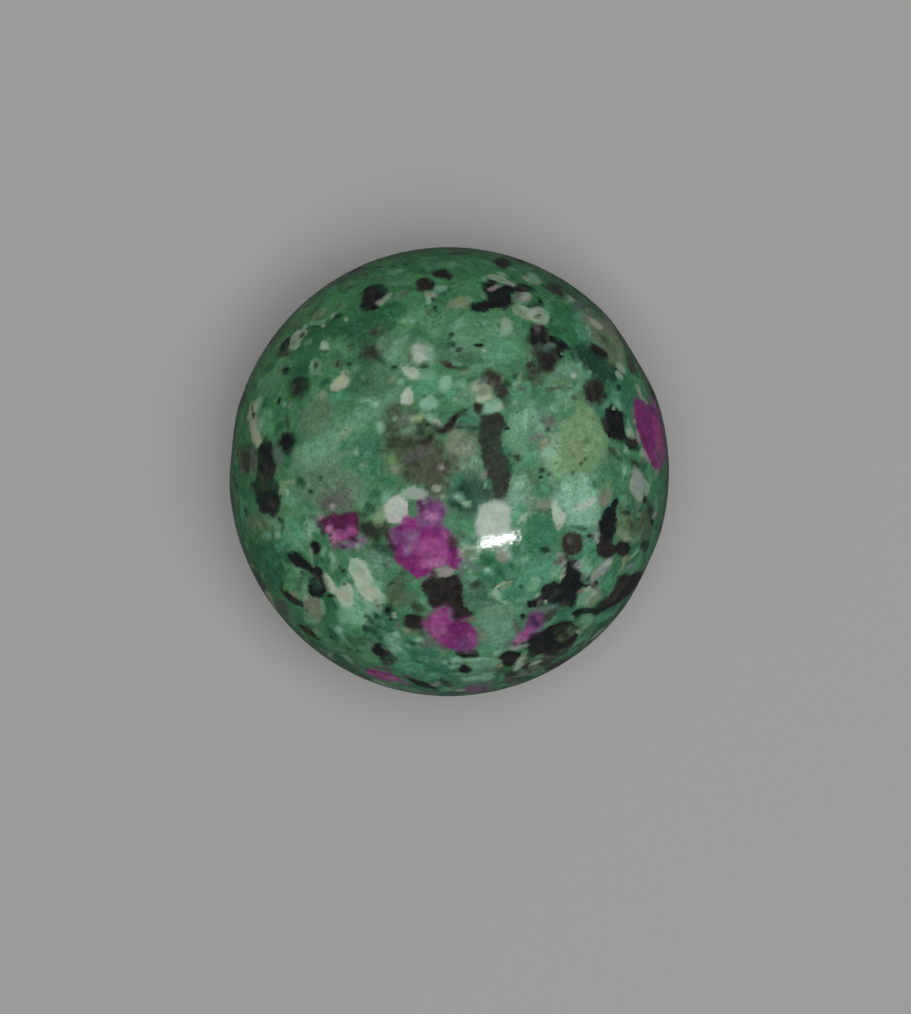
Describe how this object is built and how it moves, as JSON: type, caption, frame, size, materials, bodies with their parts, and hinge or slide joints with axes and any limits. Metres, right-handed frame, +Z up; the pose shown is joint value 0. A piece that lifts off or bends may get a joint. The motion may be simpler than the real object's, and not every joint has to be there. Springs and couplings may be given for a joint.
{
  "type": "polished stone ball",
  "caption": "Polished ball of green epidote rock with ruby, dark hornblende and pale feldspar grains, resting on one small lapped flat.",
  "frame": {"origin": "centre of the rest flat on the underside, so the ball stands on Z = 0", "axes": "+Z up through the ball's middle, +X towards the side with the ruby at its rim, +Y towards its far side as it is seen from above"},
  "size_m": [0.0594, 0.0606, 0.0596],
  "materials": {
    "polished_stone": "polished"
  },
  "bodies": {
    "root": {"stone_ball": "polished_stone"}
  },
  "joints": []
}
